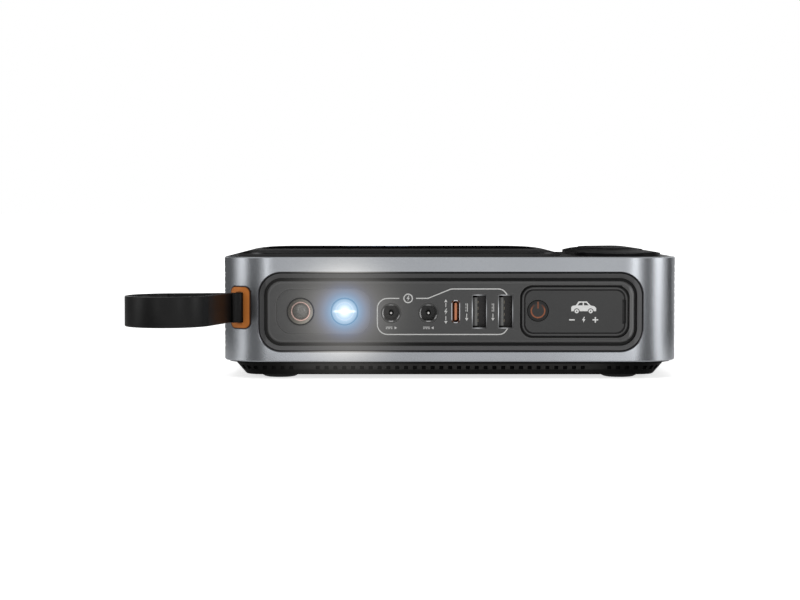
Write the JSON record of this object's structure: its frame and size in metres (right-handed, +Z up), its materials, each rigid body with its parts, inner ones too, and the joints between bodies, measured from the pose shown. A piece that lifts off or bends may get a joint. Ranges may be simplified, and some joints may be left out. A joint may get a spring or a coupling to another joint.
{
  "type": "jump starter pack",
  "caption": "Portable jump starter pack: a metal sleeve between plastic covers, with lamps, charging sockets, a power button, a covered jump socket and a corner strap.",
  "frame": {"origin": "on the ground plane, under the middle of the metal sleeve", "axes": "+Z up, -Y towards the front with the sockets, +X to the right seen from the front; the strap hangs off the front left corner"},
  "size_m": [0.2155, 0.1328, 0.0519],
  "materials": {
    "sleeve_aluminium": "bead-blasted, satin, bluish grey",
    "cover_black": "moulded, satin black",
    "display_glass": "smoked clear window",
    "display_blue": "lit digits behind the window",
    "base_black": "moulded, fine grain",
    "foot_rubber": "matte black",
    "screw_steel": "zinc plated",
    "bezel_grey": "satin dark grey",
    "panel_grey": "satin charcoal with white print",
    "lamp_window_smoke": "satin charcoal, recessed",
    "barrel_black": "matte black",
    "orange_metal": "orange anodised",
    "lens_clear": "clear moulded lens",
    "reflector_chrome": "vacuum plated",
    "emitter_yellow": "phosphor",
    "lamp_board_metal": "white masked board",
    "part_black": "moulded black",
    "pin_nickel": "nickel plated",
    "shell_steel": "stamped sheet",
    "tongue_orange": "moulded orange",
    "tongue_grey": "moulded light grey",
    "contact_gold": "gold plated",
    "board_green": "green solder mask",
    "button_black": "satin black",
    "mark_orange": "orange, lit from behind",
    "cover_rubber": "matte silicone, charcoal",
    "jump_blue": "moulded blue",
    "copper": "bare copper",
    "strap_black": "smooth black band",
    "cell_foil": "laminated foil pouch",
    "foam_grey": "closed-cell foam",
    "capacitor_can": "sleeved can",
    "ferrite": "coated ferrite ring"
  },
  "bodies": {
    "case": {"side_frame": "sleeve_aluminium", "top_cover": "cover_black", "display_window": "display_glass", "display_module": "display_blue", "base_tray": "base_black", "feet": "foot_rubber", "case_screws": "screw_steel", "port_board_screws": "screw_steel", "main_board_screws": "screw_steel", "strap_pin": "screw_steel", "front_bezel": "bezel_grey", "strap_bracket": "bezel_grey", "front_panel": "panel_grey", "lamp_window": "lamp_window_smoke", "lamp_barrels": "barrel_black", "lamp_trim_rings": "orange_metal", "strap_eyelet": "orange_metal", "lamp_lenses": "lens_clear", "lamp_reflectors": "reflector_chrome", "lamp_emitters": "emitter_yellow", "lamp_board": "lamp_board_metal", "dc_jacks": "part_black", "power_switch": "part_black", "battery_tray": "part_black", "start_relay": "part_black", "dc_pins": "pin_nickel", "type_c_shell": "shell_steel", "type_a_shells": "shell_steel", "cell_links": "shell_steel", "type_c_tongue": "tongue_orange", "type_a_tongues": "tongue_grey", "type_a_contacts": "contact_gold", "jump_contacts": "contact_gold", "port_board": "board_green", "main_board": "board_green", "power_board": "board_green", "cover_anchor": "cover_rubber", "jump_socket": "jump_blue", "jump_bus": "copper", "strap_root": "strap_black", "battery_cells": "cell_foil", "cell_foam": "foam_grey", "power_capacitors": "capacitor_can", "power_choke": "ferrite"},
    "button": {"power_button": "button_black", "power_mark": "mark_orange"},
    "cover": {"socket_cover": "cover_rubber"},
    "strap_loop": {"strap": "strap_black"}
  },
  "joints": [
    {"name": "button_press", "type": "slide", "parent": "case", "child": "button", "axis": [0, 1, 0], "range_m": [0, 0.0006], "stiffness_N_per_m": 2500},
    {"name": "cover_hinge", "type": "hinge", "parent": "case", "child": "cover", "pos_m": [0.0404, -0.0491, 0.0269], "axis": [0, 0, -1], "range_deg": [0, 110]},
    {"name": "strap_bend", "type": "hinge", "parent": "case", "child": "strap_loop", "pos_m": [-0.08477, -0.04754, 0.02845], "axis": [0, 0, 1], "range_deg": [-30, 30]}
  ]
}
